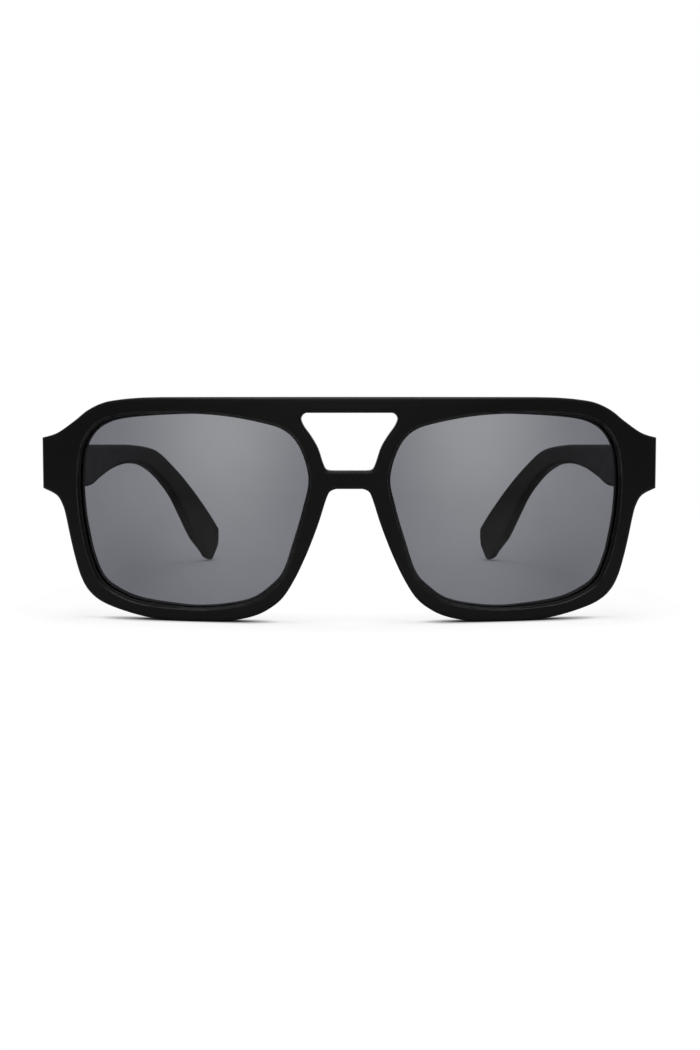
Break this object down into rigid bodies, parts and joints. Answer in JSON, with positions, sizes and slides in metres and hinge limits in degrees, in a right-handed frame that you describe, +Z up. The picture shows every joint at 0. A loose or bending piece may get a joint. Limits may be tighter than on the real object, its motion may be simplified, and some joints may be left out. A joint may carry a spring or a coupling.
{
  "type": "sunglasses",
  "caption": "Square black sunglasses with a brow bar above the bridge, grey tinted lenses, moulded nose pads and temples that fold inwards on screw-pinned hinges.",
  "frame": {"origin": "on the table, under the middle of the open glasses' box: midway between the end pieces and midway from the front's face to the temple tips", "axes": "+Z up, +X to the wearer's left, and -Y the way the wearer looks, so the front faces -Y and the temples run along +Y"},
  "size_m": [0.1456, 0.1466, 0.0523],
  "materials": {
    "frame_plastic": "satin moulded black",
    "tinted_lens": "polished, neutral grey tint",
    "core_wire": "drawn",
    "hinge_metal": "tumbled",
    "screw_metal": "bright plated"
  },
  "bodies": {
    "front": {"front": "frame_plastic", "lens_right": "tinted_lens", "lens_left": "tinted_lens", "hinge_front_leaf_right": "hinge_metal", "hinge_front_leaf_left": "hinge_metal", "hinge_screw_right": "screw_metal", "hinge_screw_left": "screw_metal"},
    "temple_right": {"temple_right": "frame_plastic", "core_wire_right": "core_wire", "hinge_temple_leaf_right": "hinge_metal"},
    "temple_left": {"temple_left": "frame_plastic", "core_wire_left": "core_wire", "hinge_temple_leaf_left": "hinge_metal"}
  },
  "joints": [
    {"name": "fold_right", "type": "hinge", "parent": "front", "child": "temple_right", "pos_m": [-0.0675, -0.05273, 0.03586], "axis": [0, 0, -1], "range_deg": [0, 80]},
    {"name": "fold_left", "type": "hinge", "parent": "front", "child": "temple_left", "pos_m": [0.0675, -0.05273, 0.03586], "axis": [0, 0, 1], "range_deg": [0, 74]}
  ]
}
